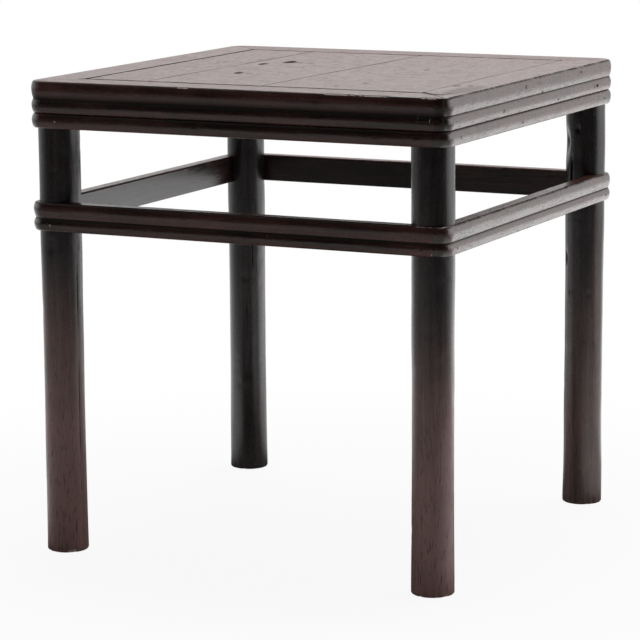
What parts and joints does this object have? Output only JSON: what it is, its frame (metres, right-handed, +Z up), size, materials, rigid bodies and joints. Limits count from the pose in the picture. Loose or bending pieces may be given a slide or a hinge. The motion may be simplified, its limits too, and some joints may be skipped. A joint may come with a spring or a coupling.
{
  "type": "eight immortals table",
  "caption": "Square Chinese dining table with round legs, reeded stretchers that wrap round the legs, and a mitred reeded top frame with a flush floating panel.",
  "frame": {"origin": "on the floor under the middle of the table", "axes": "+Z up, +X to the right along the front, -Y out of the front"},
  "size_m": [0.807, 0.807, 0.85],
  "materials": {
    "leg_lacquer": "worn dark brown lacquer, satin",
    "frame_lacquer": "worn dark brown lacquer, satin",
    "stretcher_lacquer": "worn dark brown lacquer, satin",
    "panel_lacquer": "worn dark brown lacquer, satin, with knots",
    "bare_wood": "planed, unfinished",
    "bamboo": "split bamboo"
  },
  "bodies": {
    "root": {"leg_front_left": "leg_lacquer", "leg_front_right": "leg_lacquer", "leg_back_left": "leg_lacquer", "leg_back_right": "leg_lacquer", "top_rail_front": "frame_lacquer", "edge_strip_front": "frame_lacquer", "stretcher_front": "stretcher_lacquer", "top_rail_right": "frame_lacquer", "edge_strip_right": "frame_lacquer", "stretcher_right": "stretcher_lacquer", "top_rail_back": "frame_lacquer", "edge_strip_back": "frame_lacquer", "stretcher_back": "stretcher_lacquer", "top_rail_left": "frame_lacquer", "edge_strip_left": "frame_lacquer", "stretcher_left": "stretcher_lacquer", "panel_board_narrow": "panel_lacquer", "panel_board_middle": "panel_lacquer", "panel_board_wide": "panel_lacquer", "panel_batten_front": "bare_wood", "panel_batten_back": "bare_wood", "stretcher_pegs": "bamboo", "edge_strip_pegs": "bamboo", "edge_strip_tenons": "bamboo"}
  },
  "joints": []
}
